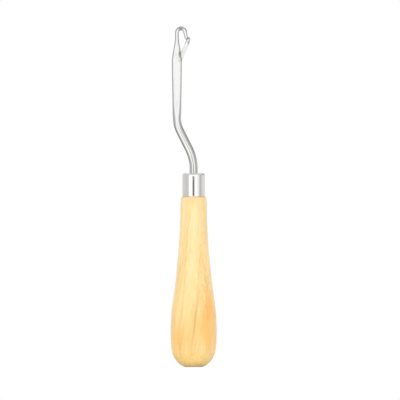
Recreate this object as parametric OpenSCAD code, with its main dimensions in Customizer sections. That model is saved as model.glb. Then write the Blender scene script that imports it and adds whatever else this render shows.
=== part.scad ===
// Bent-shank latch hook with a turned wooden handle.
//
// The tool stands on its butt: +Z runs up the handle axis, the origin is the
// centre of the flat butt, and the hook, its bends and its latch all lie in
// the XZ plane. The latch swings about an axis parallel to Y.
// All lengths are millimetres.

/* [Handle] */
// Height of the shoulder that the ferrule stands on
handle_l = 80; // [78:0.5:81]
// Largest diameter, low down at the belly
belly_d = 21.8; // [20:0.2:23]
// Diameter just under the shoulder
neck_d = 12.5; // [12.1:0.1:13.4]
// Diameter of the flat on the butt
butt_flat_d = 8; // [7:0.2:9]
// Length of the tenon that fills the ferrule
tenon_l = 9.8; // [8:0.2:9.8]

/* [Ferrule] */
// Outside diameter of the drawn cup
ferrule_d = 10.7; // [10.3:0.1:10.9]
// Wall thickness of the drawn cup
ferrule_wall = 0.5; // [0.4:0.05:0.6]
// Height of the cup
ferrule_h = 11.1; // [10.8:0.1:11.4]
// Outside radius of the pressed nose
nose_r = 1.1; // [0.8:0.1:1.3]

/* [Shank] */
// Diameter of the round rod
rod_d = 3.9; // [3.7:0.05:4]
// Sideways set of the working end from the handle axis
set_x = 7.88; // [7.5:0.02:8.3]
// Angle of the slanting run from the handle axis
bend_a = 26.6; // [25:0.1:28]
// Centreline radius of the bend above the ferrule
bend_r1 = 22; // [20:0.5:24]
// Centreline radius of the bend below the latch
bend_r2 = 15; // [12:0.5:16]
// Height where the slanting run would meet the handle axis
corner_z = 98.1; // [97.9:0.1:98.8]
// Length of the tang inside the handle
tang_l = 34; // [30:1:40]

/* [Hook] */
// Overall height to the top of the hook
top_z = 160; // [159.5:0.1:160.5]
// Diameter of the wire at the neck and round the crook
wire_d = 1.86; // [1.8:0.02:1.92]
// Centreline radius of the crook
crook_r = 1.95; // [1.85:0.05:2.05]
// Outward lean of the limb that carries the point
limb_a = 11; // [9:0.5:13]
// Length of the straight limb
limb_l = 3.0; // [2.8:0.1:3.1]
// Diameter of the rounded point
point_d = 1.5; // [1.4:0.02:1.56]

/* [Latch] */
// Height of the rivet
pivot_z = 143.7; // [143.5:0.1:143.9]
// Distance of the rivet from the shank's centreline
pivot_off = 1.18; // [1.15:0.01:1.26]
// Lean of the shut latch from upright
shut_a = 23.9; // [23.7:0.1:24.1]
// Thickness of the blade
blade_t = 0.86; // [0.7:0.02:0.9]
// Width of the sawn slot for the latch
slot_w = 1.0; // [0.96:0.02:1.1]
// Radius of the saw that cuts the slot
saw_r = 25; // [24:0.5:26]
// Rivet diameter
rivet_d = 1.1; // [1:0.02:1.2]
// Radial running clearance of the latch on its rivet
run_c = 0.05; // [0.02:0.01:0.08]
// Swing of the latch for viewing: 0 is shut, 141 is thrown back
swing = 0; // [0:1:141]

/* [Hidden] */
$fn = 96;

wood = [0.95, 0.80, 0.52];
nickel = [0.80, 0.80, 0.80];
steel = [0.72, 0.73, 0.74];
bright = [0.62, 0.63, 0.65];

rod_r = rod_d / 2;
wire_r = wire_d / 2;
lip = 0.01;   // how much fuller the bends are than the straight rod
lap = 0.03;   // how far a straight run reaches into a bend
ferrule_top = handle_l + ferrule_h;
// Shank centreline corners and tangent points
t1 = bend_r1 * tan(bend_a / 2);
t2 = bend_r2 * tan(bend_a / 2);
b1_z = corner_z - t1;                        // first bend begins, on the handle axis
b2_z = corner_z + set_x / tan(bend_a) + t2;  // second bend ends
run_l = set_x / sin(bend_a) - t1 - t2;       // straight slanting run
crook_z = top_z - wire_r - crook_r;         // centre of the crook
neck_z = 154.8;                             // where the taper has come down to the wire
tang_z = handle_l + tenon_l - tang_l;       // bottom of the parallel tang

// Handle profile, [radius, height] from the butt up. Each row is a station of
// the turned shape; smooth_pts() runs a smooth curve through them. Below the
// belly a row is a share of the belly's radius, and above it a share of the
// way from the neck's radius to the belly's.
belly_r = belly_d / 2;
neck_r = neck_d / 2;
hz = handle_l / 80;
function low(k, z) = [belly_r * k, z * hz];
function high(f, z) = [neck_r + f * (belly_r - neck_r), z * hz];
handle_st = [
    [butt_flat_d / 2, 0], low(0.48, 0.5), low(0.6, 1.3), low(0.7, 2.3), low(0.78, 3.4),
    low(0.86, 4.8), low(0.93, 6.9), low(0.97, 9.8), low(0.99, 12.8), low(1, 16),
    high(0.99, 19.2), high(0.95, 23), high(0.88, 27), high(0.77, 31), high(0.64, 35),
    high(0.53, 39), high(0.44, 43), high(0.355, 47), high(0.27, 51), high(0.19, 55),
    high(0.125, 59), high(0.07, 63), high(0.03, 67), high(0.01, 71), [neck_r, handle_l - 5],
    [neck_r - 0.03, handle_l - 2.8], [neck_r - 0.2, handle_l - 1.3],
    [neck_r - 0.36, handle_l - 0.5], [neck_r - 0.65, handle_l]
];

// Point at fraction u between stations i and i+1 of a smooth curve through p
function cr(p, i, u) =
    let (a = p[max(i - 1, 0)], b = p[i], c = p[i + 1], d = p[min(i + 2, len(p) - 1)])
    0.5 * (2 * b + (c - a) * u + (2 * a - 5 * b + 4 * c - d) * u * u
           + (3 * b - a - 3 * c + d) * u * u * u);
function smooth_pts(p, n) = concat(
    [for (i = [0:len(p) - 2], k = [0:n - 1]) cr(p, i, k / n)], [p[len(p) - 1]]);

// Width and thickness of the pressed part of the shank, [half size, height]
half_w = [
    [rod_r, b2_z], [2.06, 118.6], [2.09, 120], [2.11, 123], [2.15, 126.5], [2.23, 129.5], [2.3, 133.5],
    [2.36, 138], [2.39, 141], [2.43, 143.6], [2.4, 144.8], [2.22, 145.8], [2.06, 146.8],
    [1.77, 148.8], [1.44, 150.7], [1.1, 152.5], [0.98, 153.8], [wire_r, neck_z]
];
half_t = [
    [rod_r + 0.08, b2_z - 1], [1.74, 121], [1.45, 130], [1.3, 137],
    [1.25, 145], [1.12, 150], [1.0, 154.4], [1.0, neck_z + 1]
];

// Torus segment of rod: starts at the origin going up, turns a degrees
// towards -X on centreline radius r
module elbow(r, a, rr) {
    translate([-r, 0, 0]) rotate([90, 0, 0])
        rotate_extrude(angle = a, $fn = 128) translate([r, 0]) circle(r = rr, $fn = 64);
}

module wooden_handle() {
    color(wood) difference() {
        union() {
            rotate_extrude() polygon(concat([[0, 0]], smooth_pts(handle_st, 2), [[0, handle_l]]));
            // tenon, chamfered at its end
            translate([0, 0, handle_l - 1])
                cylinder(r = ferrule_d / 2 - ferrule_wall - 0.02, h = tenon_l + 0.5);
            translate([0, 0, handle_l + tenon_l - 0.5])
                cylinder(r1 = ferrule_d / 2 - ferrule_wall - 0.02,
                         r2 = ferrule_d / 2 - ferrule_wall - 0.52, h = 0.5);
        }
        // hole for the tang, its wings and its point
        translate([0, 0, tang_z]) cylinder(r = rod_r + 0.02, h = tang_l + 1);
        translate([0, 0, tang_z - 4]) cylinder(r1 = 0.42, r2 = rod_r + 0.02, h = 4.01);
        wings(0.02);
    }
}

// The two wings hammered out of the tang, which stop it turning in the wood
module wings(c) {
    translate([-2.5 - c, -0.75 - c, tang_z + 4 - c]) cube([5 + 2 * c, 1.5 + 2 * c, 9 + 2 * c]);
}

module ferrule() {
    ro = ferrule_d / 2;
    ri = ro - ferrule_wall;
    color(nickel) difference() {
        translate([0, 0, handle_l]) rotate_extrude() polygon(concat(
            [[0, 0], [ro, 0]],
            [for (a = [0:10:90]) [ro - nose_r + nose_r * cos(a), ferrule_h - nose_r + nose_r * sin(a)]],
            [[0, ferrule_h]]));
        translate([0, 0, handle_l - 1]) cylinder(r = ri, h = tenon_l + 1.05);
        // clearance hole for the shank in the nose
        translate([0, 0, handle_l]) cylinder(r = rod_r + 0.06, h = ferrule_h + 1);
    }
}

// Everything above the slanting run is drawn on its own centreline, then set over
module working_end() {
    translate([-set_x, 0, 0]) children();
}

module hook_shank() {
    color(steel) {
        // round rod: tang, rise, first bend, slanting run, second bend
        translate([0, 0, tang_z]) cylinder(r = rod_r, h = b1_z - tang_z + lap);
        translate([0, 0, tang_z - 4]) cylinder(r1 = 0.4, r2 = rod_r, h = 4);
        wings(0);
        translate([0, 0, b1_z]) elbow(bend_r1, bend_a, rod_r + lip);
        translate([-bend_r1 * (1 - cos(bend_a)), 0, b1_z + bend_r1 * sin(bend_a)])
            rotate([0, -bend_a, 0]) translate([0, 0, -lap]) cylinder(r = rod_r, h = run_l + 2 * lap);
        working_end() {
            translate([0, 0, b2_z]) rotate([0, 180, 0]) elbow(bend_r2, bend_a, rod_r + lip);
            // pressed part with its slot and rivet hole
            difference() {
                intersection() {
                    rotate_extrude()
                        polygon(concat([[0, b2_z - lap], [rod_r, b2_z - lap]], smooth_pts(half_w, 2),
                                [[0, neck_z]]));
                    rotate([90, 0, 90]) translate([0, 0, -10]) linear_extrude(20)
                        polygon(concat([for (p = half_t) [p[0], p[1]]],
                            [for (i = [len(half_t) - 1:-1:0]) [-half_t[i][0], half_t[i][1]]]));
                }
                slot();
                translate([pivot_off, 0, pivot_z]) rotate([90, 0, 0])
                    cylinder(r = rivet_d / 2, h = 6, center = true, $fn = 48);
            }
        }
    }
}

// End of the same wire, a solid of its own so that the eye under it stays
// open: neck, crook, limb and rounded point
module hook_crook() {
    color(steel) working_end() {
        translate([0, 0, neck_z]) cylinder(r = wire_r, h = crook_z - neck_z + lap);
        translate([0, 0, crook_z]) mirror([1, 0, 0]) elbow(crook_r, 180 - limb_a, wire_r + lip);
        translate([crook_r, 0, crook_z]) rotate([0, -limb_a, 0])
            translate([crook_r, 0, -limb_l]) {
                cylinder(r1 = point_d / 2, r2 = wire_r, h = limb_l + lap, $fn = 64);
                sphere(r = point_d / 2, $fn = 64);
            }
    }
}

// Slot left by a slitting saw plunged in from the open side of the hook
module slot() {
    intersection() {
        translate([saw_r - 0.4, 0, 139.4]) rotate([90, 0, 0])
            cylinder(r = saw_r, h = slot_w, center = true, $fn = 200);
        translate([-1.15, -2, 122]) cube([4.4, 4, 32]);
    }
}

// Latch drawn upright on its rivet: x is towards its back, z runs to its tip
blade_pts = [
    [0.92, 0], [0.9, 3], [0.86, 6], [0.84, 8.2], [0.8, 8.8], [-0.82, 8.8], [-0.82, 8.2],
    [-0.84, 6], [-0.9, 3], [-0.92, 0]
];
cup_side = [
    [0.84, 7.9], [0.84, 8.8], [0.8, 9.6], [0.72, 10.4], [0.58, 11.1], [0.38, 11.65], [0.1, 12.0],
    [-0.3, 12.15], [-0.75, 12.15], [-1.1, 12.0], [-1.22, 11.6], [-1.2, 10.8], [-1.14, 9.9],
    [-1.04, 9.1], [-0.9, 8.5], [-0.82, 7.9]
];
cup_face = [
    [0.43, 7.9], [0.5, 8.4], [0.72, 8.9], [0.98, 9.4], [1.15, 9.95], [1.2, 10.5], [1.16, 11.1],
    [1.0, 11.65], [0.7, 12.05], [0.35, 12.2]
];

module latch() {
    color(bright) working_end() translate([pivot_off, 0, pivot_z]) rotate([0, shut_a + swing, 0]) difference() {
        union() {
            rotate([90, 0, 0]) {
                cylinder(r = 0.92, h = blade_t, center = true);
                translate([0, 0, -blade_t / 2]) linear_extrude(blade_t) polygon(blade_pts);
            }
            intersection() {
                rotate([90, 0, 0]) translate([0, 0, -1.3]) linear_extrude(2.6) polygon(cup_side);
                rotate([90, 0, 90]) translate([0, 0, -2]) linear_extrude(4)
                    polygon(concat(cup_face, [for (i = [len(cup_face) - 1:-1:0])
                        [-cup_face[i][0], cup_face[i][1]]]));
            }
        }
        // running bore
        rotate([90, 0, 0]) cylinder(r = rivet_d / 2 + run_c, h = 4, center = true, $fn = 48);
        // hollow that takes the point of the hook
        translate([-1.4, 0, 10.1]) cylinder(r = 0.87, h = 3, $fn = 48);
        translate([-1.4, 0, 10.1]) sphere(r = 0.87, $fn = 48);
    }
}

module latch_rivet() {
    color(bright) working_end() translate([pivot_off, 0, pivot_z]) rotate([90, 0, 0])
        cylinder(r = rivet_d / 2, h = 2.56, center = true, $fn = 48);
}

wooden_handle();
ferrule();
hook_shank();
hook_crook();
latch();
latch_rivet();
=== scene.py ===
"""Looks of the bent-shank latch hook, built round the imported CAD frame.

Every length in the tables is in millimetres in the CAD frame and is turned
into metres when a mesh is made. +Z runs up the handle axis, the hook lies in
the XZ plane and the butt's flat is at z = 0.
"""

import math

import bmesh
import bpy
import numpy as np
from mathutils import Matrix, Vector


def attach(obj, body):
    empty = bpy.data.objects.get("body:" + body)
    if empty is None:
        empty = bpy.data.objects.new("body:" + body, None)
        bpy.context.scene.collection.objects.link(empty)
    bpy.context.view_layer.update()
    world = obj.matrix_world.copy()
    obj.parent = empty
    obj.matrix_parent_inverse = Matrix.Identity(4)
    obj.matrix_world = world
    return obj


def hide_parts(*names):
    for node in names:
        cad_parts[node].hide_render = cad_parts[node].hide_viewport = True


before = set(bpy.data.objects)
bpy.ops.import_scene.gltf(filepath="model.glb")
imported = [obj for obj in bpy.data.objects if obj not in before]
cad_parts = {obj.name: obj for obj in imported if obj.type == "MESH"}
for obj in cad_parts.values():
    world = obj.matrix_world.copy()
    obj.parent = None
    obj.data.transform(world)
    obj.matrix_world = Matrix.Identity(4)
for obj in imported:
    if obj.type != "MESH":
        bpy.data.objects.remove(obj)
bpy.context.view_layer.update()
MM = 0.001
scene = bpy.context.scene

# ----------------------------------------------------------------- dimensions
HANDLE_L, TENON_L = 80.0, 9.8
FER_R, FER_WALL, FER_H, NOSE_R = 5.35, 0.5, 11.1, 1.1
ROD_R, SET_X, BEND_A, BEND_R1, BEND_R2 = 1.95, 7.88, math.radians(26.6), 22.0, 15.0
CORNER_Z, TANG_L, TOP_Z = 98.1, 34.0, 160.0
WIRE_R, CROOK_R, LIMB_A, LIMB_L, POINT_R = 0.93, 1.95, math.radians(11), 3.0, 0.75
PIV_OFF, PIV_Z, SHUT_A = 1.18, 143.7, math.radians(23.9)
BLADE_T, SLOT_W, SAW_R, RIVET_R, RUN_C = 0.86, 1.0, 25.0, 0.55, 0.05
TANG_Z = HANDLE_L + TENON_L - TANG_L
CROOK_Z = TOP_Z - WIRE_R - CROOK_R
# tangent lengths and ends of the two bends
T1, T2 = BEND_R1 * math.tan(BEND_A / 2), BEND_R2 * math.tan(BEND_A / 2)
B1_Z = CORNER_Z - T1
B2_Z = CORNER_Z + SET_X / math.tan(BEND_A) + T2
RUN_L = SET_X / math.sin(BEND_A) - T1 - T2
PIV = (-SET_X + PIV_OFF, PIV_Z)

BELLY_R, NECK_R, BUTT_R = 10.9, 6.25, 4.0


def low(k, z):
    return BELLY_R * k, z


def high(f, z):
    return NECK_R + f * (BELLY_R - NECK_R), z


# stations of the turned profile: shares of the belly's radius below it, and
# shares of the way from the neck to the belly above it
HANDLE_ST = [
    (BUTT_R, 0), low(0.48, 0.5), low(0.6, 1.3), low(0.7, 2.3), low(0.78, 3.4), low(0.86, 4.8),
    low(0.93, 6.9), low(0.97, 9.8), low(0.99, 12.8), low(1, 16), high(0.99, 19.2),
    high(0.95, 23), high(0.88, 27), high(0.77, 31), high(0.64, 35), high(0.53, 39),
    high(0.44, 43), high(0.355, 47), high(0.27, 51), high(0.19, 55), high(0.125, 59),
    high(0.07, 63), high(0.03, 67), high(0.01, 71), (NECK_R, 75), (NECK_R - 0.03, 77.2),
    (NECK_R - 0.2, 78.7), (NECK_R - 0.36, 79.5), (NECK_R - 0.65, 80.0),
]


def catmull(pts, n):
    """A smooth curve through rows of pts, n steps a span."""
    p = np.array(pts, float)
    out = []
    for i in range(len(p) - 1):
        a, b, c, d = p[max(i - 1, 0)], p[i], p[i + 1], p[min(i + 2, len(p) - 1)]
        for u in np.arange(n) / n:
            out.append(0.5 * (2 * b + (c - a) * u + (2 * a - 5 * b + 4 * c - d) * u * u
                              + (3 * b - a - 3 * c + d) * u ** 3))
    out.append(p[-1])
    return np.array(out)


def smoothstep(a, b, x):
    t = np.clip((np.asarray(x, float) - a) / (b - a), 0, 1)
    return t * t * (3 - 2 * t)


# ----------------------------------------------------------------- mesh tools
def new_mesh(name, verts, faces, sharp=None):
    """A mesh object from millimetre points. Normals face out and the mesh is checked."""
    me = bpy.data.meshes.new(name)
    me.from_pydata([tuple(v) for v in np.asarray(verts, float) * MM], [], faces)
    me.validate()
    bm = bmesh.new()
    bm.from_mesh(me)
    bmesh.ops.remove_doubles(bm, verts=bm.verts, dist=1e-8)
    bmesh.ops.dissolve_degenerate(bm, edges=bm.edges, dist=1e-8)
    bmesh.ops.recalc_face_normals(bm, faces=bm.faces)
    for f in bm.faces:
        f.smooth = True
    bm.to_mesh(me)
    bm.free()
    if sharp is not None:
        me.set_sharp_from_angle(angle=math.radians(sharp))
    ob = bpy.data.objects.new(name, me)
    scene.collection.objects.link(ob)
    return ob


def lathe(rows, n, wobble=None):
    """Points and faces of a turned shape. rows are (r, z); r = 0 is a pole."""
    verts, faces, rings = [], [], []
    ang = np.arange(n) * 2 * math.pi / n
    for i, (r, z) in enumerate(rows):
        if r <= 1e-9:
            rings.append([len(verts)])
            verts.append((0, 0, z))
            continue
        rings.append(list(range(len(verts), len(verts) + n)))
        rr = np.full(n, r)
        zz = np.full(n, z)
        if wobble is not None:
            rr, zz = wobble(rr, zz, ang, i)
        verts += list(zip(rr * np.cos(ang), rr * np.sin(ang), zz))
    for a, b in zip(rings[:-1], rings[1:]):
        if len(a) == 1 and len(b) == 1:
            continue
        for k in range(n):
            j = (k + 1) % n
            if len(a) == 1:
                faces.append((a[0], b[k], b[j]))
            elif len(b) == 1:
                faces.append((a[k], a[j], b[0]))
            else:
                faces.append((a[k], a[j], b[j], b[k]))
    return verts, faces


def loft(rings, cap0="pole", cap1="pole"):
    """Points and faces of a closed skin over rings of equal length."""
    n = len(rings[0])
    verts = [tuple(p) for r in rings for p in r]
    faces = []
    for i in range(len(rings) - 1):
        for k in range(n):
            j = (k + 1) % n
            faces.append((i * n + k, i * n + j, (i + 1) * n + j, (i + 1) * n + k))
    for where, cap in ((0, cap0), (len(rings) - 1, cap1)):
        if cap == "pole":
            verts.append(tuple(np.mean(rings[where], axis=0)))
            c = len(verts) - 1
            for k in range(n):
                faces.append((where * n + k, where * n + (k + 1) % n, c))
        else:
            faces.append(tuple(where * n + k for k in range(n)))
    return verts, faces


def cut(ob, cutter):
    """Takes cutter out of ob and removes cutter."""
    m = ob.modifiers.new("cut", "BOOLEAN")
    m.operation, m.solver, m.object = "DIFFERENCE", "EXACT", cutter
    dg = bpy.context.evaluated_depsgraph_get()
    me = bpy.data.meshes.new_from_object(ob.evaluated_get(dg), depsgraph=dg)
    bm = bmesh.new()
    bm.from_mesh(me)
    bmesh.ops.remove_doubles(bm, verts=bm.verts, dist=3e-7)
    bmesh.ops.dissolve_degenerate(bm, edges=bm.edges, dist=1e-7)
    bm.to_mesh(me)
    bm.free()
    ob.modifiers.clear()
    old = ob.data
    ob.data = me
    bpy.data.meshes.remove(old)
    bpy.data.objects.remove(cutter)
    me.name = ob.name


def wave(x, y, seed, terms=9, low=1.0, high=6.0):
    """A smooth repeatable ripple of x and the angle y, about -1 to 1."""
    rng = np.random.default_rng(seed)
    out = np.zeros(np.broadcast(x, y).shape)
    for _ in range(terms):
        kx = rng.uniform(low, high)
        ky = rng.integers(0, 5)
        out = out + math.sqrt(1 / terms) * np.sin(kx * x + ky * y + rng.uniform(0, 6.28))
    return out


# --------------------------------------------------------------------- handle
def make_handle():
    prof = catmull(HANDLE_ST, 10)
    ten = FER_R - FER_WALL - 0.02
    rows = [(r, 0.0) for r in (0, 0.6, 1.4, 2.2, 2.9, 3.5)]
    rows += [tuple(p) for p in prof]
    rows += [(5.5, 80.0), (5.3, 80.0), (5.1, 80.0), (ten + 0.12, 80.0), (ten, 80.05),
             (ten, 84), (ten, 88), (ten, 89.3), (ten - 0.5, 89.8), (3.0, 89.8),
             (ROD_R + 0.12, 89.8)]
    rows += [(ROD_R + 0.02, z) for z in (89.7, 80, 70, 60, TANG_Z)]
    rows += [(0.42, TANG_Z - 4), (0, TANG_Z - 4)]
    n_out = 6 + len(prof)

    def wobble(r, z, a, i):
        if 6 <= i < n_out:
            # turning marks, a trace of ovality and a hand-sanded surface
            fade = smoothstep(0.0, 5.0, z) * (1 - smoothstep(79.0, 80.0, z))
            r = r + fade * (0.018 * np.sin(z * 2.9 + 0.8 * np.sin(0.31 * z))
                            + 0.03 * np.sin(2 * a + 0.6)
                            + 0.022 * wave(z * 0.16, a, 3)) - 0.045 * fade
        if n_out <= i <= n_out + 3 or abs(z[0] - 80.0) < 0.02:
            z = z + 0.03 * np.sin(3 * a + 1) + 0.02 * np.sin(7 * a) - 0.045
        return r, z

    v, f = lathe(rows, 176, wobble)
    return new_mesh("handle_turned", v, f, sharp=50)


# -------------------------------------------------------------------- ferrule
def make_ferrule():
    z0, z1, ri = HANDLE_L, HANDLE_L + FER_H, FER_R - FER_WALL
    rows = []
    # trimmed lower edge with a slight burnished roll
    for t in np.linspace(-90, 0, 6):
        a = math.radians(t)
        rows.append((FER_R - 0.16 + 0.16 * math.cos(a), z0 + 0.16 + 0.16 * math.sin(a)))
    for z in np.linspace(z0 + 0.4, z1 - NOSE_R - 0.3, 46):
        rows.append((FER_R, z))
    for t in np.linspace(0, 90, 14):
        a = math.radians(t)
        rows.append((FER_R - NOSE_R + NOSE_R * math.cos(a), z1 - NOSE_R + NOSE_R * math.sin(a)))
    for r in (3.7, 3.35, 3.0, 2.65, 2.4):
        rows.append((r, z1 - 0.015 * (3.7 - r)))
    # the nose is punched through from above, so its rim turns down
    for t in np.linspace(90, 180, 6):
        a = math.radians(t)
        rows.append((ROD_R + 0.29 + 0.22 * math.cos(a), z1 - 0.25 + 0.22 * math.sin(a)))
    rows += [(ROD_R + 0.07, z1 - 0.9), (ROD_R + 0.07, z1 - FER_WALL - 0.7)]
    rows += [(ROD_R + 0.3, z1 - FER_WALL - 0.75)]
    rows += [(3.4, z0 + TENON_L + 0.05), (ri - 0.35, z0 + TENON_L + 0.05), (ri, z0 + TENON_L - 0.3)]
    rows += [(ri, z) for z in np.linspace(z0 + 9, z0 + 0.3, 8)]
    rows += [(ri + 0.06, z0 + 0.08), (ri + 0.16, z0)]

    def wobble(r, z, a, i):
        inside = (z > z0 + 0.2) & (z < z1 - 0.5) & (r > FER_R - 0.25)
        # drawn metal: long faint facets that run with the axis
        d = 0.0035 * wave((z - z0) * 0.03, a, 11, low=0.5, high=3.0) + 0.004 * np.sin(2 * a + 0.4)
        return r + np.where(inside, d - 0.01, 0), z

    v, f = lathe(rows, 160, wobble)
    n, m = 160, len(rows)
    for k in range(n):  # close the lower edge, last ring back to the first
        j = (k + 1) % n
        f.append(((m - 1) * n + k, (m - 1) * n + j, j, k))
    return new_mesh("ferrule_cup", v, f, sharp=60)


# ----------------------------------------------------------------- hook shank
HALF_W = catmull([
    (ROD_R, B2_Z), (2.06, 118.6), (2.09, 120), (2.11, 123), (2.15, 126.5), (2.23, 129.5), (2.3, 133.5),
    (2.36, 138), (2.39, 141), (2.43, 143.6), (2.4, 144.8), (2.22, 145.8), (2.06, 146.8),
    (1.77, 148.8), (1.44, 150.7), (1.1, 152.5), (0.98, 153.8), (WIRE_R, 154.8),
], 8)
HALF_T = catmull([
    (ROD_R, 114.5), (1.9, 117.5), (1.74, 121), (1.45, 130), (1.3, 137), (1.25, 145),
    (1.1, 150), (0.97, 153.2), (WIRE_R, 155.6),
], 8)


def section(a, b, p, n_out, w, depth, n_in=17, chamfer=0.0):
    """A closed outline (u, v) with a notch of half width w, cut depth into the +u side.

    n_out points run round the outside from the notch's +v lip to its -v lip and
    n_in run through the notch. With no depth the notch lies on the outline.
    """
    w = min(w, 0.8 * b)

    def curve(t):
        c, s = np.cos(t), np.sin(t)
        return (a * np.sign(c) * np.abs(c) ** (2 / p), b * np.sign(s) * np.abs(s) ** (2 / p))

    t = np.linspace(0, 2 * math.pi, 4001)
    u, v = curve(t)
    # where the outline passes v = w going up, and v = -w coming back
    lip = w + chamfer
    i0 = int(np.argmax(v >= lip))
    i1 = len(t) - 1 - i0
    uu, vv = u[i0:i1 + 1], v[i0:i1 + 1]
    d = np.concatenate([[0], np.cumsum(np.hypot(np.diff(uu), np.diff(vv)))])
    s = np.linspace(0, d[-1], n_out)
    outer = np.stack([np.interp(s, d, uu), np.interp(s, d, vv)], 1)
    edge_u = a * (1 - min(w / b, 1) ** p) ** (1 / p)
    q = np.linspace(-1, 1, n_in)
    k = np.clip((1 - np.abs(q)) / 0.42, 0, 1)      # 0 at the lips, 1 along the floor
    iv = w * np.sign(q) * np.minimum(np.abs(q) / 0.58, 1)
    flat_u = a * (1 - np.clip(np.abs(iv) / b, 0, 1) ** p) ** (1 / p)
    iu = np.where(depth > 0, (edge_u - chamfer) - (depth - chamfer) * k, flat_u)
    if depth > 0 and depth < 0.2:                   # blend the run-out of the cut
        g = depth / 0.2
        iu = flat_u * (1 - g) + ((edge_u - chamfer) - (depth - chamfer) * k) * g
        iu = np.minimum(iu, flat_u)
    if depth <= 0:
        iv = lip * q
        iu = a * (1 - np.clip(np.abs(iv) / b, 0, 1) ** p) ** (1 / p)
    inner = np.stack([iu, iv], 1)
    return np.vstack([outer, inner[1:-1]])


def slot_floor(z):
    s = SAW_R ** 2 - (z - 139.4) ** 2
    return -SET_X - 0.4 + SAW_R - math.sqrt(s) if s > 0 else 99.0


def make_shank():
    # stations: centre x, z, tilt of the path, half width, half thickness, power, cut depth
    st = []

    def add(x, z, tilt, a, b, p=2.0, depth=-1.0):
        st.append((x, z, tilt, a, b, p, depth))

    for r, z in ((0.39, TANG_Z - 4), (0.75, TANG_Z - 3), (1.1, TANG_Z - 2), (1.5, TANG_Z - 1)):
        add(0, z, 0, r, r)
    for z in np.linspace(TANG_Z, B1_Z, 34)[:-1]:
        add(0, z, 0, ROD_R - 0.008, ROD_R - 0.008)
    for t in np.linspace(0, BEND_A, 25):
        add(-BEND_R1 * (1 - math.cos(t)), B1_Z + BEND_R1 * math.sin(t), t, ROD_R, ROD_R)
    x0, z0 = -BEND_R1 * (1 - math.cos(BEND_A)), B1_Z + BEND_R1 * math.sin(BEND_A)
    for s in np.linspace(0, RUN_L, 14)[1:-1]:
        add(x0 - s * math.sin(BEND_A), z0 + s * math.cos(BEND_A), BEND_A, ROD_R, ROD_R)
    for t in np.linspace(BEND_A, 0, 25):
        # the rod flattens a little through the bend
        z = B2_Z - BEND_R2 * math.sin(t)
        b = float(np.interp(z, HALF_T[:, 1], HALF_T[:, 0]))
        add(-SET_X + BEND_R2 * (1 - math.cos(t)), z, t, ROD_R, b)
    zs = list(np.arange(B2_Z + 0.5, 127.6, 0.5)) + list(np.arange(127.8, 130.2, 0.1))
    zs += list(np.arange(130.5, 144.0, 0.5)) + list(np.arange(144.2, 156.0, 0.1))
    zs += [156.3, 156.7]
    for z in zs:
        a = float(np.interp(z, HALF_W[:, 1], HALF_W[:, 0]))
        b = float(np.interp(z, HALF_T[:, 1], HALF_T[:, 0]))
        p = 2 + 1.15 * smoothstep(116, 126, z) * (1 - smoothstep(149, 154.5, z))
        depth = -1.0
        w = SLOT_W / 2
        if 127 < z < 151.5:
            edge = -SET_X + a * (1 - (w / b) ** p) ** (1 / p)
            depth = edge - slot_floor(z)
        add(-SET_X, z, 0, a, b, float(p), depth)
    for t in np.linspace(0, math.pi - LIMB_A, 57):
        add(-SET_X + CROOK_R * (1 - math.cos(t)), CROOK_Z + CROOK_R * math.sin(t), -t, WIRE_R, WIRE_R)
    cx, ang = -SET_X + CROOK_R, math.pi - LIMB_A
    ex, ez = cx + CROOK_R * math.cos(LIMB_A), CROOK_Z + CROOK_R * math.sin(LIMB_A)
    dx, dz = math.sin(LIMB_A), -math.cos(LIMB_A)
    for s in np.linspace(0, LIMB_L, 16)[1:]:
        r = WIRE_R + (POINT_R - WIRE_R) * s / LIMB_L
        add(ex + dx * s, ez + dz * s, -ang, r, r)
    for t in np.linspace(0, 84, 13)[1:]:
        c, s = math.cos(math.radians(t)), math.sin(math.radians(t))
        add(ex + dx * (LIMB_L + POINT_R * s), ez + dz * (LIMB_L + POINT_R * s), -ang,
            POINT_R * c, POINT_R * c)
    rings = []
    for x, z, tilt, a, b, p, depth in st:
        ch = 0.05 if depth > 0.2 else (0.25 * depth if depth > 0 else 0.0)
        uv = section(a, b, p, 64, SLOT_W / 2, depth, chamfer=ch)
        ux, uz = math.cos(tilt), math.sin(tilt)
        rings.append(np.stack([x + uv[:, 0] * ux, uv[:, 1], z + uv[:, 0] * uz], 1))
    v, f = loft(rings)
    ob = new_mesh("shank_rod", v, f)
    # rivet hole through the two cheeks
    hv, hf = lathe([(0, -3), (RIVET_R + 0.005, -3), (RIVET_R + 0.005, 3), (0, 3)], 48)
    hv = [(PIV[0] + x, z, PIV[1] + y) for x, y, z in hv]
    cut(ob, new_mesh("hole_cutter", hv, hf))
    finish_edges(ob, 34)
    return ob


def finish_edges(ob, angle):
    """Smooth shading with true edges kept sharp."""
    for poly in ob.data.polygons:
        poly.use_smooth = True
    ob.data.set_sharp_from_angle(angle=math.radians(angle))


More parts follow.
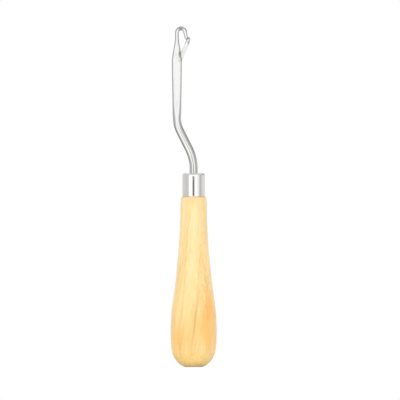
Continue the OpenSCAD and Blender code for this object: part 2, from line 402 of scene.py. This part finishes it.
# ---------------------------------------------------------------------- latch
def make_latch():
    back = catmull([(0.92, 0), (0.9, 3), (0.86, 6), (0.84, 8.2), (0.8, 9.6), (0.7, 10.5),
                    (0.55, 11.2), (0.34, 11.75), (0.1, 12.02), (-0.06, 12.12)], 6)
    face = catmull([(0.92, 0), (0.9, 3), (0.84, 6), (0.82, 7.9), (0.9, 8.5), (1.04, 9.15),
                    (1.14, 9.9), (1.2, 10.8), (1.22, 11.5), (1.12, 11.95), (1.0, 12.12)], 6)
    wide = catmull([(0.43, 0), (0.43, 7.6), (0.5, 8.35), (0.72, 8.9), (0.97, 9.4), (1.14, 9.95),
                    (1.19, 10.5), (1.15, 11.1), (1.0, 11.65), (0.78, 12.0), (0.66, 12.12)], 6)
    zs = list(-0.92 * np.cos(np.linspace(0.12, math.pi / 2, 12)))
    zs += list(np.arange(0.25, 7.6, 0.25)) + list(np.arange(7.65, 11.6, 0.1))
    zs += list(np.linspace(11.65, 12.12, 10))
    rings = []
    for z in zs:
        if z < 0:
            xb = xf = math.sqrt(max(0.92 ** 2 - z * z, 1e-4))
            h, p = BLADE_T / 2, 7.0
        else:
            xb = float(np.interp(z, back[:, 1], back[:, 0]))
            xf = float(np.interp(z, face[:, 1], face[:, 0]))
            h = float(np.interp(z, wide[:, 1], wide[:, 0]))
            p = float(7.0 - 4.4 * smoothstep(7.4, 9.2, z))
        a, mid = (xb + xf) / 2, (xb - xf) / 2
        # the spoon's hollow faces -x here, so the outline is made mirrored: u = -x
        rh = 0.87 if z >= 10.1 else math.sqrt(max(0.87 ** 2 - (10.1 - z) ** 2, 0))
        n_out, n_in = 56, 21

        def curve(t):
            c, s = np.cos(t), np.sin(t)
            return (a * np.sign(c) * np.abs(c) ** (2 / p), h * np.sign(s) * np.abs(s) ** (2 / p))

        t = np.linspace(0, 2 * math.pi, 6001)
        u, v = curve(t)
        u = u - mid
        # the hollow's own circle is centred 1.4 in front of the blade's line
        inside = (1.4 - u) ** 2 + v ** 2 < rh ** 2 if rh > 0 else np.zeros(len(t), bool)
        front = (u > 0) & (np.abs(v) < h)
        reach = np.abs(v[inside & front]).max() if (inside & front).any() else 0.0
        lip = max(reach, 0.3 * h)
        i0 = int(np.argmax(v >= lip))
        i1 = len(t) - 1 - i0
        uu, vv = u[i0:i1 + 1], v[i0:i1 + 1]
        d = np.concatenate([[0], np.cumsum(np.hypot(np.diff(uu), np.diff(vv)))])
        s = np.linspace(0, d[-1], n_out)
        outer = np.stack([np.interp(s, d, uu), np.interp(s, d, vv)], 1)
        q = np.sin(np.linspace(-1, 1, n_in) * math.pi / 2)
        iv = lip * q
        on = a * (1 - np.clip(np.abs(iv) / h, 0, 1) ** p) ** (1 / p) - mid
        bowl = np.where(np.abs(iv) < rh, 1.4 - np.sqrt(np.clip(rh ** 2 - iv ** 2, 0, None)), 9.0)
        iu = np.minimum(on, bowl)
        uv = np.vstack([outer, np.stack([iu, iv], 1)[1:-1]])
        rings.append(np.stack([-uv[:, 0], uv[:, 1], np.full(len(uv), z)], 1))
    # a point at the tip's middle is worked out here but not used; the tip's edge is left as lofted
    last = rings[-1]
    c = np.array([0.25, 0, 0]) + np.array([0, 0, 1]) * last[:, 2].mean()
    v, f = loft(rings, cap0="pole", cap1="ngon")
    ob = new_mesh("latch_blade", v, f)
    bv, bf = lathe([(0, -2), (RIVET_R + RUN_C, -2), (RIVET_R + RUN_C, 2), (0, 2)], 48)
    bv = [(x, z, y) for x, y, z in bv]
    cut(ob, new_mesh("bore_cutter", bv, bf))
    rot = Matrix.Rotation(SHUT_A, 4, "Y")
    ob.data.transform(Matrix.Translation(Vector((PIV[0], 0, PIV[1])) * MM) @ rot)
    finish_edges(ob, 40)
    return ob


def make_rivet():
    half = 1.262
    rows = [(0, -half - 0.045), (0.2, -half - 0.04), (0.38, -half - 0.02), (0.5, -half + 0.012),
            (RIVET_R - 0.006, -half + 0.06)]
    rows += [(RIVET_R - 0.006, y) for y in (-1.0, -0.5, 0, 0.5, 1.0)]
    rows += [(r, -y) for r, y in reversed(rows[:5])]
    v, f = lathe(rows, 48)
    v = [(PIV[0] + x, z, PIV[1] + y) for x, y, z in v]
    return new_mesh("rivet_pin", v, f, sharp=60)


# ------------------------------------------------------------------ materials
class Nodes:
    def __init__(self, name):
        self.mat = bpy.data.materials.new(name)
        self.mat.use_nodes = True
        self.t = self.mat.node_tree
        self.t.nodes.clear()
        self.out = self.t.nodes.new("ShaderNodeOutputMaterial")
        self.bsdf = self.t.nodes.new("ShaderNodeBsdfPrincipled")
        self.t.links.new(self.bsdf.outputs[0], self.out.inputs[0])
        self.co = self.t.nodes.new("ShaderNodeTexCoord").outputs["Object"]

    def link(self, a, b):
        self.t.links.new(a, b)

    def put(self, socket, value):
        if isinstance(value, bpy.types.NodeSocket):
            self.link(value, socket)
        else:
            socket.default_value = value

    def math(self, op, a, b=None, c=None, clamp=False):
        n = self.t.nodes.new("ShaderNodeMath")
        n.operation, n.use_clamp = op, clamp
        for i, v in enumerate((a, b, c)):
            if v is not None:
                self.put(n.inputs[i], v)
        return n.outputs[0]

    def mapping(self, scale=(1, 1, 1), loc=(0, 0, 0), rot=(0, 0, 0), src=None):
        n = self.t.nodes.new("ShaderNodeMapping")
        self.link(src or self.co, n.inputs["Vector"])
        n.inputs["Scale"].default_value = scale
        n.inputs["Location"].default_value = loc
        n.inputs["Rotation"].default_value = rot
        return n.outputs[0]

    def noise(self, vec, scale=1.0, detail=2.0, rough=0.5, dist=0.0, out="Fac"):
        n = self.t.nodes.new("ShaderNodeTexNoise")
        self.link(vec, n.inputs["Vector"])
        n.inputs["Scale"].default_value = scale
        n.inputs["Detail"].default_value = detail
        n.inputs["Roughness"].default_value = rough
        n.inputs["Distortion"].default_value = dist
        return n.outputs[out]

    def voronoi(self, vec, scale=1.0, feature="F1", out="Distance", rand=1.0):
        n = self.t.nodes.new("ShaderNodeTexVoronoi")
        n.feature = feature
        self.link(vec, n.inputs["Vector"])
        n.inputs["Scale"].default_value = scale
        n.inputs["Randomness"].default_value = rand
        return n.outputs[out]

    def ramp(self, fac, stops, mode="LINEAR"):
        n = self.t.nodes.new("ShaderNodeValToRGB")
        n.color_ramp.interpolation = mode
        e = n.color_ramp.elements
        while len(e) > 1:
            e.remove(e[-1])
        e[0].position, e[0].color = stops[0][0], (*stops[0][1], 1)
        for p, c in stops[1:]:
            k = e.new(p)
            k.color = (*c, 1)
        self.link(fac, n.inputs[0])
        return n.outputs[0]

    def mix(self, fac, a, b, blend="MIX"):
        n = self.t.nodes.new("ShaderNodeMix")
        n.data_type, n.blend_type = "RGBA", blend
        self.put(n.inputs["Factor"], fac)
        self.put(n.inputs["A"], a if isinstance(a, bpy.types.NodeSocket) else (*a, 1))
        self.put(n.inputs["B"], b if isinstance(b, bpy.types.NodeSocket) else (*b, 1))
        return n.outputs["Result"]

    def remap(self, v, a, b, c, d):
        n = self.t.nodes.new("ShaderNodeMapRange")
        self.put(n.inputs["Value"], v)
        for key, val in zip(("From Min", "From Max", "To Min", "To Max"), (a, b, c, d)):
            n.inputs[key].default_value = val
        return n.outputs[0]

    def split(self, vec=None):
        n = self.t.nodes.new("ShaderNodeSeparateXYZ")
        self.link(vec or self.co, n.inputs[0])
        return n.outputs[0], n.outputs[1], n.outputs[2]

    def join(self, x, y, z):
        n = self.t.nodes.new("ShaderNodeCombineXYZ")
        for i, v in enumerate((x, y, z)):
            self.put(n.inputs[i], v)
        return n.outputs[0]

    def bump(self, height, strength, distance, normal=None):
        n = self.t.nodes.new("ShaderNodeBump")
        n.inputs["Strength"].default_value = strength
        n.inputs["Distance"].default_value = distance
        self.link(height, n.inputs["Height"])
        if normal is not None:
            self.link(normal, n.inputs["Normal"])
        return n.outputs[0]


def srgb(r, g, b):
    return tuple((c / 255 / 12.92) if c / 255 <= 0.04045 else ((c / 255 + 0.055) / 1.055) ** 2.4
                 for c in (r, g, b))


def wood_material():
    m = Nodes("turned_wood")
    x, y, z = m.split()
    # the grain leans a little to the right as it climbs
    warp = m.noise(m.mapping((75, 75, 16)), 1.0, 3.0, 0.5)
    u = m.math("ADD", m.math("MULTIPLY_ADD", z, -0.10, x),
               m.math("MULTIPLY", m.math("SUBTRACT", warp, 0.5), 0.0042))
    v = m.math("MULTIPLY_ADD", z, 0.05, y)
    g = m.join(u, v, z)
    broad = m.noise(m.mapping((330, 330, 12), loc=(1.3, 0.2, 0), src=g), 1.0, 2.0, 0.5)
    band = m.noise(m.mapping((950, 950, 26), loc=(4.1, 2.7, 0.3), src=g), 1.0, 2.5, 0.55)
    fibre = m.noise(m.mapping((2500, 2500, 95), src=g), 1.0, 3.0, 0.65)
    fine = m.noise(m.mapping((6200, 6200, 190), loc=(5, 2, 1), src=g), 1.0, 2.0, 0.6)
    # long thin lines where two ripples of the grain cross their middle values
    thread = m.noise(m.mapping((430, 430, 9), loc=(7.7, 3.1, 0.9), src=g), 1.0, 2.0, 0.5)
    lines = m.remap(m.math("ABSOLUTE", m.math("SUBTRACT", thread, 0.5)), 0.004, 0.030, 1.0, 0.0)
    thread2 = m.noise(m.mapping((760, 760, 13), loc=(2.2, 9.4, 3.3), src=g), 1.0, 2.0, 0.5)
    lines2 = m.remap(m.math("ABSOLUTE", m.math("SUBTRACT", thread2, 0.47)), 0.004, 0.026, 1.0, 0.0)
    cloud = m.noise(m.mapping((150, 150, 62), loc=(0.4, 2.2, 1.7), src=g), 1.0, 2.0, 0.5)

    # growth rings cut by the turning: the pith runs askew far behind the handle
    px = m.math("ADD", u, 0.0035)
    py = m.math("ADD", v, 0.030)
    d = m.math("SQRT", m.math("ADD", m.math("MULTIPLY", px, px), m.math("MULTIPLY", py, py)))
    d = m.math("ADD", d, m.math("MULTIPLY", m.math("SUBTRACT", broad, 0.5), 0.0028))
    ring = m.math("FRACT", m.math("MULTIPLY", d, 1 / 0.0034))
    late = m.ramp(ring, [(0.0, (0.0,) * 3), (0.45, (0.08,) * 3), (0.80, (0.5,) * 3),
                         (0.93, (1.0,) * 3), (1.0, (0.0,) * 3)])

    # paler and yellower towards the ferrule, warmer in the belly; the pale butt end is painted light that
    # makes up for the shade on its downward-facing curve
    up = m.remap(z, 0.0, 0.08, 0.0, 1.0)
    tone_with_painted_butt_light = m.ramp(up, [(0.0, srgb(255, 228, 150)), (0.05, srgb(255, 223, 146)),
                       (0.10, srgb(252, 208, 130)), (0.14, srgb(250, 203, 122)),
                       (0.34, srgb(250, 204, 125)), (0.5, srgb(251, 214, 145)),
                       (0.7, srgb(251, 220, 155)), (1.0, srgb(250, 216, 152))])
    pale = m.math("MULTIPLY", m.remap(broad, 0.40, 0.68, 0.0, 0.70), m.remap(z, 0.022, 0.048, 0.45, 1.0))
    col = m.mix(pale, tone_with_painted_butt_light, srgb(253, 228, 168))
    col = m.mix(m.remap(band, 0.52, 0.72, 0.0, 0.60), col, srgb(248, 198, 118))
    col = m.mix(m.remap(band, 0.47, 0.30, 0.0, 0.60), col, srgb(253, 232, 178))
    col = m.mix(m.math("MULTIPLY", lines, m.remap(cloud, 0.35, 0.65, 0.20, 0.55)), col, srgb(220, 180, 106))
    col = m.mix(m.math("MULTIPLY", lines2, m.remap(broad, 0.35, 0.65, 0.40, 0.10)), col, srgb(228, 186, 110))
    col = m.mix(m.remap(cloud, 0.52, 0.80, 0.0, 0.45), col, srgb(250, 198, 112))
    col = m.mix(m.math("MULTIPLY", late, 0.24), col, srgb(230, 188, 108))
    col = m.mix(m.remap(fibre, 0.52, 0.80, 0.0, 0.34), col, srgb(224, 180, 104))
    col = m.mix(m.remap(fine, 0.55, 0.8, 0.0, 0.24), col, srgb(255, 243, 210))
    # ray flecks: short thin dashes along the grain
    fl = m.voronoi(m.mapping((1500, 1500, 330), loc=(2, 7, 3), src=g), 1.0)
    fleck = m.remap(fl, 0.04, 0.16, 1.0, 0.0)
    col = m.mix(m.math("MULTIPLY", fleck, 0.20), col, srgb(204, 150, 84))

    def spot(cx, cy, cz, rx, ry, rz, lean=0.0):
        """A soft oval patch, 1 in its middle."""
        ax = m.math("SUBTRACT", m.math("SUBTRACT", x, cx), m.math("MULTIPLY", m.math("SUBTRACT", z, cz), lean))
        ax = m.math("DIVIDE", ax, rx)
        ay = m.math("DIVIDE", m.math("SUBTRACT", y, cy), ry)
        az = m.math("DIVIDE", m.math("SUBTRACT", z, cz), rz)
        s = m.math("ADD", m.math("ADD", m.math("MULTIPLY", ax, ax), m.math("MULTIPLY", ay, ay)),
                   m.math("MULTIPLY", az, az))
        return m.math("POWER", 2.718, m.math("MULTIPLY", s, -1.0))

    def patch(where, amount, colour, ragged=0.5):
        """Tints a soft patch whose edge is broken up by the grain."""
        k = m.math("MULTIPLY", where, m.remap(fibre, 0.3, 0.7, 1 - ragged, 1 + ragged * 0.5))
        return m.mix(m.math("MULTIPLY", m.math("MULTIPLY", k, amount), 1.0, clamp=True), col, srgb(*colour))

    # pale column up the middle, and warm mineral patches on the belly and the back
    col = patch(spot(-0.0014, -0.009, 0.046, 0.0028, 0.008, 0.020, 0.10), 0.45, (254, 236, 180), 0.3)
    col = patch(spot(0.0068, -0.0075, 0.0262, 0.0018, 0.006, 0.0085, 0.10), 0.95, (251, 182, 84))
    col = patch(spot(0.0090, -0.004, 0.0200, 0.0016, 0.006, 0.0130, 0.04), 0.60, (250, 190, 100))
    col = patch(spot(-0.0080, -0.006, 0.0135, 0.0026, 0.006, 0.0065, 0.10), 0.60, (252, 196, 98))
    col = patch(spot(-0.0010, -0.007, 0.0048, 0.0060, 0.007, 0.0022, 0.00), 0.40, (251, 196, 100))
    col = patch(spot(0.0040, -0.004, 0.0480, 0.0015, 0.006, 0.0130, 0.06), 0.35, (250, 200, 120))
    col = patch(spot(0.0035, 0.0095, 0.0330, 0.0030, 0.006, 0.0160, 0.12), 0.65, (250, 194, 102))
    col = patch(spot(-0.0050, 0.0090, 0.0150, 0.0024, 0.006, 0.0090, 0.12), 0.55, (250, 190, 98))
    col = patch(spot(0.0004, -0.006, 0.0680, 0.0036, 0.006, 0.0160, 0.02), 0.20, (254, 236, 188), 0.3)
    col = patch(spot(-0.0062, -0.008, 0.0285, 0.0036, 0.008, 0.0085, 0.08), 0.50, (254, 234, 176), 0.3)
    col = patch(spot(0.0014, -0.0095, 0.0190, 0.0030, 0.006, 0.0050, 0.08), 0.50, (249, 194, 100))
    col = patch(spot(0.0058, -0.008, 0.0150, 0.0018, 0.006, 0.0040, 0.06), 0.55, (250, 188, 94))
    # darker grain lines
    for cx, cy, cz, rx, rz, ln, amt in (
        (0.0007, -0.0105, 0.0220, 0.00046, 0.0130, 0.130, 0.82),
        (0.0008, -0.0095, 0.0105, 0.00034, 0.0040, 0.120, 0.45),
        (-0.0062, -0.0085, 0.0105, 0.00036, 0.0050, 0.110, 0.40),
        (0.0022, -0.0085, 0.0420, 0.00032, 0.0100, 0.112, 0.30),
        (-0.0052, -0.0085, 0.0300, 0.00036, 0.0140, 0.105, 0.26),
        (0.0050, -0.0085, 0.0250, 0.00034, 0.0120, 0.120, 0.32),
        (-0.0030, -0.0065, 0.0600, 0.00030, 0.0130, 0.075, 0.26),
        (0.0005, 0.0100, 0.0300, 0.00036, 0.0170, 0.110, 0.42),
    ):
        col = m.mix(m.math("MULTIPLY", spot(cx, cy, cz, rx, 0.006, rz, ln), amt), col, srgb(212, 168, 90))
    # painted sheen: the skin is tinted paler and pinker where it curves away from the view
    sheen_facing = m.t.nodes.new("ShaderNodeLayerWeight")
    sheen_facing.inputs["Blend"].default_value = 0.35
    painted_rim_sheen = m.remap(sheen_facing.outputs["Facing"], 0.45, 0.95, 0.0, 0.42)
    col = m.mix(painted_rim_sheen, col, srgb(244, 216, 178))
    # end grain at the butt and the shoulder takes more lacquer
    endg = m.math("ADD", m.remap(z, 0.0, 0.0012, 0.10, 0.0), m.remap(z, 0.0792, 0.0800, 0.0, 0.40))
    col = m.mix(endg, col, srgb(214, 160, 92))
    m.link(col, m.bsdf.inputs["Base Color"])
    m.link(m.remap(band, 0.3, 0.7, 0.34, 0.46), m.bsdf.inputs["Roughness"])
    m.bsdf.inputs["IOR"].default_value = 1.48
    m.bsdf.inputs["Coat Weight"].default_value = 0.5
    m.bsdf.inputs["Coat Roughness"].default_value = 0.18
    m.bsdf.inputs["Coat IOR"].default_value = 1.5
    m.bsdf.inputs["Subsurface Weight"].default_value = 0.06
    m.bsdf.inputs["Subsurface Radius"].default_value = (0.0012, 0.0007, 0.0003)
    m.bsdf.inputs["Subsurface Scale"].default_value = 0.5
    h = m.math("ADD", m.math("MULTIPLY", fibre, 0.5), m.math("MULTIPLY", fine, 0.25))
    h = m.math("SUBTRACT", h, m.math("MULTIPLY", fleck, 0.3))
    m.link(m.bump(h, 0.35, 0.00004), m.bsdf.inputs["Normal"])
    return m.mat


def metal_material(name, colour, rough, grain, spots, flat_rough=None, worn=0.5, painted_shade_spots=()):
    """Plated or bare steel. grain is the stretch of its fine marks along x, y and z.

    Each dark spot, given as (x, z, half width, half height, strength) in millimetres, is painted shade or a
    painted dark reflection.
    """
    m = Nodes(name)
    x, y, z = m.split()
    marks = m.noise(m.mapping(grain), 1.0, 4.0, 0.7)
    smudge = m.noise(m.mapping((420, 420, 260), loc=(4, 1, 8)), 1.0, 3.0, 0.6)
    pits = m.voronoi(m.mapping((spots,) * 3), 1.0)
    pit = m.remap(pits, 0.03, 0.12, 1.0, 0.0)
    col = m.mix(m.remap(smudge, 0.35, 0.75, 0.0, 0.35), colour, tuple(c * 0.86 for c in colour))
    col = m.mix(m.math("MULTIPLY", pit, 0.35), col, tuple(c * 0.55 for c in colour))
    col = m.mix(m.remap(marks, 0.62, 0.85, 0.0, 0.25), col, tuple(min(c * 1.12, 0.97) for c in colour))
    r = m.remap(marks, 0.3, 0.75, rough * 0.7, rough * 1.35)
    r = m.math("ADD", r, m.remap(smudge, 0.5, 0.8, 0.0, rough * 0.8))
    # painted shade and painted dark reflections: soft darker, rougher patches
    for sx, sz, wx, wz, amount in painted_shade_spots:
        ax = m.math("DIVIDE", m.math("SUBTRACT", x, sx * MM), wx * MM)
        az = m.math("DIVIDE", m.math("SUBTRACT", z, sz * MM), wz * MM)
        d2 = m.math("ADD", m.math("MULTIPLY", ax, ax), m.math("MULTIPLY", az, az))
        shade_blot = m.math("MULTIPLY", m.math("POWER", 2.718, m.math("MULTIPLY", d2, -1.0)),
                      m.remap(smudge, 0.3, 0.7, 0.75, 1.25), clamp=True)
        col = m.mix(m.math("MULTIPLY", shade_blot, amount), col, tuple(c * 0.22 for c in colour))
        r = m.math("ADD", r, m.math("MULTIPLY", shade_blot, 0.18 * amount))
    m.link(col, m.bsdf.inputs["Base Color"])
    m.bsdf.inputs["Metallic"].default_value = 1.0
    if flat_rough is not None:
        nrm = m.t.nodes.new("ShaderNodeNewGeometry").outputs["Normal"]
        _, ny, _ = m.split(nrm)
        flat = m.remap(m.math("ABSOLUTE", ny), 0.86, 0.985, 0.0, 1.0)
        up = m.remap(z, 0.114, 0.124, 0.0, 1.0)
        f = m.math("MULTIPLY", flat, up)
        r = m.math("ADD", r, m.math("MULTIPLY", f, flat_rough - rough))
    m.link(r, m.bsdf.inputs["Roughness"])
    h = m.math("ADD", m.math("MULTIPLY", marks, 0.6), m.math("MULTIPLY", pit, -0.8))
    m.link(m.bump(h, worn, 0.000012), m.bsdf.inputs["Normal"])
    return m.mat


# ---------------------------------------------------------------------- build
handle = make_handle()
ferrule = make_ferrule()
shank = make_shank()
latch = make_latch()
rivet = make_rivet()

wood = wood_material()
nickel = metal_material("ferrule_nickel", (0.83, 0.82, 0.80), 0.09, (5200, 5200, 240), 900, worn=0.35)
# the shank's dark spots are a painted dark reflection at the top of the crook and painted shade on the neck's
# flank beside the latch root
steel = metal_material("shank_nickel", (0.60, 0.60, 0.595), 0.11, (4200, 4200, 330), 1100,
                       flat_rough=0.16, worn=0.3,
                       painted_shade_spots=((-6.1, 158.8, 0.95, 0.8, 0.90), (-6.6, 147.2, 0.45, 1.7, 0.8),
                               (-5.95, 144.8, 0.40, 1.1, 0.45)))
# the latch's dark spots are painted shadow where the hook's point sits in the spoon
bright = metal_material("latch_steel", (0.62, 0.62, 0.615), 0.22, (3600, 7000, 900), 1300, worn=0.3,
                        painted_shade_spots=((-2.9, 154.3, 0.50, 0.42, 0.70), (-2.65, 152.4, 0.42, 0.7, 0.45)))
pin = metal_material("rivet_steel", (0.62, 0.62, 0.615), 0.24, (5200, 2600, 5200), 1500, worn=0.5)

for ob, mat, body, nodes, slot in (
    (handle, wood, "tool", ("wooden_handle",), "handle_wood"),
    (ferrule, nickel, "tool", ("ferrule",), "ferrule_nickel"),
    (shank, steel, "tool", ("hook_shank", "hook_crook"), "shank_steel"),
    (latch, bright, "latch", ("latch",), "latch_steel"),
    (rivet, pin, "tool", ("latch_rivet",), "latch_steel"),
):
    ob.data.materials.clear()
    ob.data.materials.append(mat)
    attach(ob, body)
    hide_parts(*nodes)

# ---------------------------------------------------------------------- stage
bm = bmesh.new()
bmesh.ops.create_circle(bm, cap_ends=True, radius=4.0, segments=96)
me = bpy.data.meshes.new("floor")
bm.to_mesh(me)
bm.free()
floor = bpy.data.objects.new("floor", me)
floor.location.z = -0.00002
scene.collection.objects.link(floor)
fm = Nodes("floor_paper")
tone = fm.noise(fm.mapping((14, 14, 14)), 1.0, 2.0, 0.5)
fm.link(fm.mix(tone, (0.86, 0.86, 0.86), (0.88, 0.88, 0.875)), fm.bsdf.inputs["Base Color"])
fm.bsdf.inputs["Roughness"].default_value = 0.85
floor.data.materials.append(fm.mat)


def make_world():
    """A white studio tent: the camera sees a plain pale ground, the metal sees panels and gaps."""
    w = bpy.data.worlds.new("studio")
    scene.world = w
    w.use_nodes = True
    t = w.node_tree
    t.nodes.clear()
    out = t.nodes.new("ShaderNodeOutputWorld")
    mixer = t.nodes.new("ShaderNodeMixShader")
    path = t.nodes.new("ShaderNodeLightPath")
    seen = t.nodes.new("ShaderNodeBackground")
    lit = t.nodes.new("ShaderNodeBackground")
    seen.inputs["Color"].default_value = (1, 1, 1, 1)
    seen.inputs["Strength"].default_value = 1.0
    t.links.new(path.outputs["Is Camera Ray"], mixer.inputs[0])
    t.links.new(lit.outputs[0], mixer.inputs[1])
    t.links.new(seen.outputs[0], mixer.inputs[2])
    t.links.new(mixer.outputs[0], out.inputs[0])
    co = t.nodes.new("ShaderNodeTexCoord").outputs["Generated"]
    sep = t.nodes.new("ShaderNodeSeparateXYZ")
    t.links.new(co, sep.inputs[0])

    def math_node(op, a, b=None):
        n = t.nodes.new("ShaderNodeMath")
        n.operation = op
        for i, v in enumerate((a, b)):
            if isinstance(v, bpy.types.NodeSocket):
                t.links.new(v, n.inputs[i])
            elif v is not None:
                n.inputs[i].default_value = v
        return n.outputs[0]

    def ring(stops):
        """Brightness round the tent, from stops of (azimuth in degrees, value)."""
        ramp = t.nodes.new("ShaderNodeValToRGB")
        e = ramp.color_ramp.elements
        while len(e) > 1:
            e.remove(e[-1])
        for i, (deg, val) in enumerate(stops):
            k = e[0] if i == 0 else e.new(deg / 360 + 0.5)
            k.position = deg / 360 + 0.5
            k.color = (val / 4, val / 4, val / 4, 1)
        t.links.new(fac, ramp.inputs[0])
        return ramp.outputs[0]

    def blend(z0, z1, a, b):
        m = t.nodes.new("ShaderNodeMapRange")
        m.interpolation_type = "SMOOTHSTEP"
        t.links.new(sep.outputs[2], m.inputs["Value"])
        m.inputs["From Min"].default_value, m.inputs["From Max"].default_value = z0, z1
        mix = t.nodes.new("ShaderNodeMix")
        mix.data_type = "RGBA"
        t.links.new(m.outputs[0], mix.inputs["Factor"])
        t.links.new(a, mix.inputs["A"])
        t.links.new(b, mix.inputs["B"])
        return mix.outputs["Result"]

    # azimuth: 0 towards -Y, where the main camera stands, and growing towards +X
    az = math_node("ARCTAN2", sep.outputs[0], math_node("MULTIPLY", sep.outputs[1], -1.0))
    fac = math_node("ADD", math_node("DIVIDE", az, 2 * math.pi), 0.5)
    level = ring([(-180, 0.80), (-160, 0.84), (-140, 0.80), (-120, 0.76), (-100, 0.73), (-78, 0.70),
                  (-64, 0.70), (-54, 0.80), (-46, 1.05), (-38, 1.55), (0, 1.62), (28, 1.60),
                  (36, 1.15), (45, 1.04), (53, 1.00), (61, 0.72), (72, 0.56), (78, 0.60),
                  (88, 0.76), (104, 0.84), (130, 0.86), (160, 0.84), (180, 0.80)])
    # above the panels the tent is open and dimmer; below them the table throws light back
    over = ring([(-180, 0.74), (-90, 0.68), (-40, 0.84), (58, 0.84), (80, 0.61), (102, 0.45),
                 (180, 0.50)])
    table = ring([(-180, 0.36), (-122, 0.36), (-100, 0.42), (-84, 0.66), (-66, 1.00), (-50, 1.50),
                  (-26, 1.85), (0, 1.42), (58, 1.25), (72, 0.80), (95, 0.50), (180, 0.38)])
    high = ring([(-180, 0.86), (-90, 0.84), (0, 0.80), (90, 0.80), (180, 0.86)])
    col = blend(-0.28, -0.08, table, level)
    col = blend(0.05, 0.42, col, over)
    col = blend(0.46, 0.64, col, high)
    t.links.new(col, lit.inputs["Color"])
    lit.inputs["Strength"].default_value = 4.0


make_world()


def make_flag(x, half, z0, z1, y):
    """A black card that only reflections see. It draws the dark line down polished round metal."""
    nx, nz = 12, 8
    verts = [(x + half * (2 * i / nx - 1), y, z0 + (z1 - z0) * j / nz)
             for j in range(nz + 1) for i in range(nx + 1)]
    faces = [(j * (nx + 1) + i, j * (nx + 1) + i + 1, (j + 1) * (nx + 1) + i + 1, (j + 1) * (nx + 1) + i)
             for j in range(nz) for i in range(nx)]
    me = bpy.data.meshes.new("flag")
    me.from_pydata(verts, [], faces)
    ob = bpy.data.objects.new("flag", me)
    scene.collection.objects.link(ob)
    m = Nodes("flag_card")
    m.t.nodes.remove(m.bsdf)
    cx, _, _ = m.split()
    edge = m.math("ABSOLUTE", m.math("DIVIDE", m.math("SUBTRACT", cx, x), half))
    soft = m.remap(edge, 0.25, 1.0, 0.0, 1.0)
    clear = m.t.nodes.new("ShaderNodeBsdfTransparent")
    dark = m.t.nodes.new("ShaderNodeEmission")
    dark.inputs["Color"].default_value = (0.12, 0.12, 0.12, 1)
    mix = m.t.nodes.new("ShaderNodeMixShader")
    m.link(soft, mix.inputs[0])
    m.link(dark.outputs[0], mix.inputs[1])
    m.link(clear.outputs[0], mix.inputs[2])
    m.link(mix.outputs[0], m.out.inputs[0])
    me.materials.append(m.mat)
    ob.visible_camera = ob.visible_diffuse = ob.visible_shadow = False
    ob.visible_transmission = ob.visible_volume_scatter = False


make_flag(-0.009, 0.097, 0.066, 0.0975, -0.30)
floor.visible_glossy = False


def area(name, loc, target, size, power, colour=(1, 1, 1), glossy=True):
    d = bpy.data.lights.new(name, "AREA")
    d.shape, d.size, d.energy, d.color = "DISK", size, power, colour
    o = bpy.data.objects.new(name, d)
    scene.collection.objects.link(o)
    o.location = loc
    o.rotation_mode = "QUATERNION"
    o.rotation_quaternion = (Vector(target) - Vector(loc)).to_track_quat("-Z", "Y")
    o.visible_camera = False
    o.visible_glossy = glossy
    return o


area("key", (-0.85, -0.80, 0.50), (0, 0, 0.06), 0.6, 2.9, glossy=False)
area("fill", (0.95, -0.70, 0.40), (0, 0, 0.06), 0.6, 2.2, glossy=False)
area("top", (0.1, 0.3, 1.1), (0, 0, 0.05), 0.8, 2.8, glossy=False)

# --------------------------------------------------------------------- camera
# 400 pixels span 187.9 mm; the handle's axis stands at column 193.68 and z = 0 at row 367
SPAN = 0.1879
cam_data = bpy.data.cameras.new("camera")
cam_data.type = "ORTHO"
cam_data.ortho_scale = SPAN
cam_data.clip_start, cam_data.clip_end = 0.01, 20
cam = bpy.data.objects.new("camera", cam_data)
scene.collection.objects.link(cam)
cam.location = ((200 - 193.68) / 400 * SPAN, -1.2, (367.0 - 200) / 400 * SPAN)
cam.rotation_euler = (math.radians(90), 0, 0)
scene.camera = cam

scene.view_settings.view_transform = "Standard"
scene.view_settings.look = "None"
scene.view_settings.exposure = 0.0
scene.view_settings.gamma = 1.0
